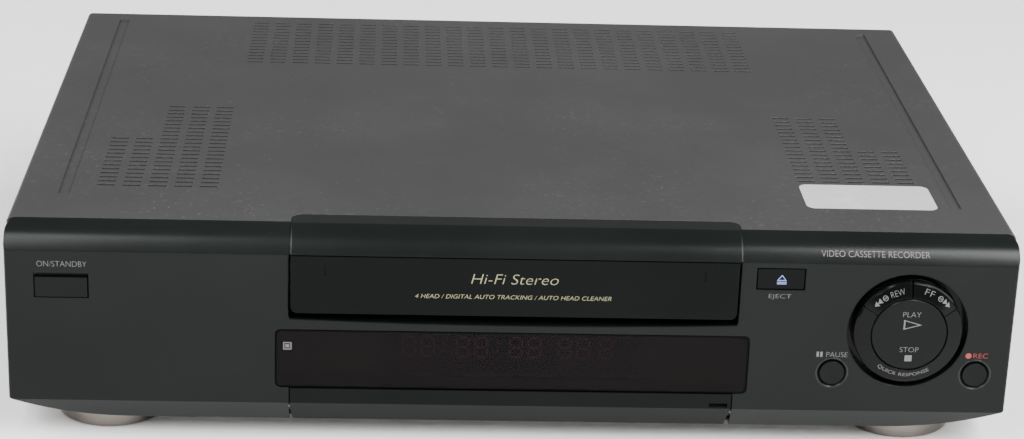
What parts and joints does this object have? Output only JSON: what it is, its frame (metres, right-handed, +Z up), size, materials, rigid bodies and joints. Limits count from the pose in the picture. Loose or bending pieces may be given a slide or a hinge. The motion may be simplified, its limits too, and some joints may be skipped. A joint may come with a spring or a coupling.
{
  "type": "video cassette recorder",
  "caption": "Full-width front-loading home video cassette recorder with a wide cassette door, smoked display window, drop-down lower door and a round transport control.",
  "frame": {"origin": "middle of the footprint, on the table under the feet", "axes": "+X to the viewer's right along the front, +Y from the front panel to the back, +Z up"},
  "size_m": [0.43, 0.322, 0.099],
  "materials": {
    "cover_paint": "fine satin grey paint on bent sheet steel",
    "zinc_steel": "zinc plated sheet steel",
    "panel_plastic": "dark grey-green satin moulding",
    "flap_plastic": "dark satin moulding",
    "smoked_window": "smoked clear plastic",
    "foot_metal": "champagne metallic, spun",
    "foot_black": "black moulding",
    "soft_pad": "soft black rubber",
    "black_screw": "blackened steel",
    "display_glass": "display tube behind the window",
    "brown_board": "circuit board",
    "green_board": "circuit board",
    "jack_brass": "plated jacks on their board",
    "cast_aluminium": "machined and die cast",
    "motor_steel": "plated motor can",
    "gear_plastic": "natural moulding",
    "reel_plastic": "black moulding"
  },
  "bodies": {
    "case": {"top_cover": "cover_paint", "chassis_pan": "zinc_steel", "front_panel": "panel_plastic", "rear_panel": "zinc_steel", "front_feet": "foot_metal", "rear_feet": "foot_black", "foot_pads": "soft_pad", "case_screws": "black_screw", "display_window": "smoked_window", "display_module": "display_glass", "front_board": "brown_board", "board_screws": "zinc_steel", "tact_switches": "foot_black", "control_ring": "panel_plastic", "flap_spring": "zinc_steel", "front_jacks": "jack_brass", "main_board": "green_board", "main_board_parts": "foot_black", "tuner_unit": "zinc_steel", "rear_sockets": "foot_black", "power_supply": "brown_board", "mains_inlet": "foot_black", "deck_plate": "zinc_steel", "drum_base": "cast_aluminium", "lower_drum": "cast_aluminium", "capstan_motor": "zinc_steel", "drive_belt": "soft_pad", "tape_heads": "cast_aluminium", "loading_motor": "motor_steel", "carriage_frame": "zinc_steel"},
    "power_button": {"power_button": "panel_plastic"},
    "eject_button": {"eject_button": "flap_plastic"},
    "pause_button": {"pause_button": "panel_plastic"},
    "record_button": {"record_button": "panel_plastic"},
    "rewind_button": {"rewind_button": "panel_plastic"},
    "fast_forward_button": {"fast_forward_button": "panel_plastic"},
    "play_stop_disc": {"play_stop_disc": "panel_plastic"},
    "cassette_flap": {"cassette_flap": "flap_plastic"},
    "lower_door": {"lower_door": "panel_plastic"},
    "channel_down_button": {"channel_down_button": "panel_plastic"},
    "channel_up_button": {"channel_up_button": "panel_plastic"},
    "input_button": {"input_button": "panel_plastic"},
    "upper_drum": {"upper_drum": "cast_aluminium"},
    "capstan_rotor": {"capstan_rotor": "cast_aluminium"},
    "clutch_pulley": {"clutch_pulley": "gear_plastic"},
    "idler_arm": {"idler_arm": "gear_plastic"},
    "idler_wheel": {"idler_wheel": "soft_pad"},
    "supply_reel": {"supply_reel": "reel_plastic"},
    "take_up_reel": {"take_up_reel": "reel_plastic"},
    "tension_arm": {"tension_arm": "zinc_steel"},
    "pinch_arm": {"pinch_arm": "zinc_steel"},
    "pinch_roller": {"pinch_roller": "soft_pad"},
    "left_tape_guide": {"left_tape_guide": "cast_aluminium"},
    "right_tape_guide": {"right_tape_guide": "cast_aluminium"},
    "head_cleaner": {"head_cleaner": "gear_plastic"},
    "motor_pinion": {"motor_pinion": "gear_plastic"},
    "cam_gear": {"cam_gear": "gear_plastic"},
    "carriage_slider": {"carriage_slider": "zinc_steel"},
    "carriage_gear": {"carriage_gear": "gear_plastic"},
    "cassette_holder": {"cassette_holder": "zinc_steel"}
  },
  "joints": [
    {"name": "power_press", "type": "slide", "parent": "case", "child": "power_button", "axis": [0, 1, 0], "range_m": [0, 0.001], "stiffness_N_per_m": 500, "springref_m": -0.0005},
    {"name": "eject_press", "type": "slide", "parent": "case", "child": "eject_button", "axis": [0, 1, 0], "range_m": [0, 0.001], "stiffness_N_per_m": 400, "springref_m": -0.0005},
    {"name": "pause_press", "type": "slide", "parent": "case", "child": "pause_button", "axis": [0, 1, 0], "range_m": [0, 0.001], "stiffness_N_per_m": 400, "springref_m": -0.0005},
    {"name": "record_press", "type": "slide", "parent": "case", "child": "record_button", "axis": [0, 1, 0], "range_m": [0, 0.001], "stiffness_N_per_m": 400, "springref_m": -0.0005},
    {"name": "rewind_press", "type": "slide", "parent": "case", "child": "rewind_button", "axis": [0, 1, 0], "range_m": [0, 0.001], "stiffness_N_per_m": 400, "springref_m": -0.0005},
    {"name": "fast_forward_press", "type": "slide", "parent": "case", "child": "fast_forward_button", "axis": [0, 1, 0], "range_m": [0, 0.001], "stiffness_N_per_m": 400, "springref_m": -0.0005},
    {"name": "channel_down_press", "type": "slide", "parent": "case", "child": "channel_down_button", "axis": [0, 1, 0], "range_m": [0, 0.001], "stiffness_N_per_m": 300, "springref_m": -0.0005},
    {"name": "channel_up_press", "type": "slide", "parent": "case", "child": "channel_up_button", "axis": [0, 1, 0], "range_m": [0, 0.001], "stiffness_N_per_m": 300, "springref_m": -0.0005},
    {"name": "input_press", "type": "slide", "parent": "case", "child": "input_button", "axis": [0, 1, 0], "range_m": [0, 0.001], "stiffness_N_per_m": 300, "springref_m": -0.0005},
    {"name": "play_stop_rock", "type": "hinge", "parent": "case", "child": "play_stop_disc", "pos_m": [0.16925, -0.157, 0.0582], "axis": [1, 0, 0], "range_deg": [-2.5, 2.5], "stiffness_Nm_per_rad": 0.4},
    {"name": "flap_swing", "type": "hinge", "parent": "case", "child": "cassette_flap", "pos_m": [0, -0.1528, 0.0903], "axis": [1, 0, 0], "range_deg": [0, 90], "stiffness_Nm_per_rad": 0.01, "springref_deg": -28.65},
    {"name": "lower_door_swing", "type": "hinge", "parent": "case", "child": "lower_door", "pos_m": [0, -0.1498, 0.0125], "axis": [1, 0, 0], "range_deg": [0, 90]},
    {"name": "holder_slide", "type": "slide", "parent": "case", "child": "carriage_slider", "axis": [0, 1, 0], "range_m": [0, 0.024]},
    {"name": "holder_lift", "type": "slide", "parent": "carriage_slider", "child": "cassette_holder", "axis": [0, 0, -1], "range_m": [0, 0.019]},
    {"name": "carriage_gear_spin", "type": "hinge", "parent": "case", "child": "carriage_gear", "pos_m": [0.10375, -0.058, 0.05405], "axis": [1, 0, 0], "range_deg": [-140, 0]},
    {"name": "drum_spin", "type": "hinge", "parent": "case", "child": "upper_drum", "pos_m": [0, 0.048, 0.0312], "axis": [0, -0.1045, 0.9945], "continuous": true},
    {"name": "capstan_spin", "type": "hinge", "parent": "case", "child": "capstan_rotor", "pos_m": [0.062, 0.015, 0.022], "axis": [0, 0, 1], "continuous": true},
    {"name": "clutch_spin", "type": "hinge", "parent": "case", "child": "clutch_pulley", "pos_m": [0, -0.041, 0.026], "axis": [0, 0, 1], "continuous": true},
    {"name": "idler_swing", "type": "hinge", "parent": "case", "child": "idler_arm", "pos_m": [0, -0.041, 0.037], "axis": [0, 0, 1], "range_deg": [-25, 25]},
    {"name": "idler_wheel_spin", "type": "hinge", "parent": "idler_arm", "child": "idler_wheel", "pos_m": [0, -0.065, 0.034], "axis": [0, 0, 1], "continuous": true},
    {"name": "supply_reel_spin", "type": "hinge", "parent": "case", "child": "supply_reel", "pos_m": [-0.046, -0.047, 0.034], "axis": [0, 0, 1], "continuous": true},
    {"name": "take_up_reel_spin", "type": "hinge", "parent": "case", "child": "take_up_reel", "pos_m": [0.046, -0.047, 0.034], "axis": [0, 0, 1], "continuous": true},
    {"name": "tension_swing", "type": "hinge", "parent": "case", "child": "tension_arm", "pos_m": [-0.084, 0.015, 0.043], "axis": [0, 0, 1], "range_deg": [-15, 15], "stiffness_Nm_per_rad": 0.02},
    {"name": "pinch_arm_swing", "type": "hinge", "parent": "case", "child": "pinch_arm", "pos_m": [0.088, 0.033, 0.043], "axis": [0, 0, 1], "range_deg": [-43, 0], "stiffness_Nm_per_rad": 0.02, "springref_deg": 5.73},
    {"name": "pinch_roller_spin", "type": "hinge", "parent": "pinch_arm", "child": "pinch_roller", "pos_m": [0.08605, 0.01069, 0.052], "axis": [0, 0, 1], "continuous": true},
    {"name": "left_guide_slide", "type": "slide", "parent": "case", "child": "left_tape_guide", "axis": [-0.1222, 0.9925, 0], "range_m": [0, 0.0655]},
    {"name": "right_guide_slide", "type": "slide", "parent": "case", "child": "right_tape_guide", "axis": [0.1222, 0.9925, 0], "range_m": [0, 0.0655]},
    {"name": "cam_spin", "type": "hinge", "parent": "case", "child": "cam_gear", "pos_m": [-0.075, 0.058, 0.034], "axis": [0, 0, 1], "range_deg": [0, 250]},
    {"name": "pinion_spin", "type": "hinge", "parent": "case", "child": "motor_pinion", "pos_m": [-0.075, 0.08615, 0.034], "axis": [0, 0, 1], "range_deg": [-920, 0]},
    {"name": "cleaner_swing", "type": "hinge", "parent": "case", "child": "head_cleaner", "pos_m": [0.024, 0.09, 0.053], "axis": [0, 0, 1], "range_deg": [0, 20], "stiffness_Nm_per_rad": 0.01, "springref_deg": -5.73}
  ],
  "couplings": [
    {"joint": "carriage_gear_spin", "follows": "holder_slide", "rad_per_m": -100},
    {"joint": "clutch_spin", "follows": "capstan_spin", "ratio": 0.5},
    {"joint": "pinion_spin", "follows": "cam_spin", "ratio": -3.6667},
    {"joint": "left_guide_slide", "follows": "cam_spin", "m_per_rad": 0.015},
    {"joint": "right_guide_slide", "follows": "cam_spin", "m_per_rad": 0.015}
  ]
}
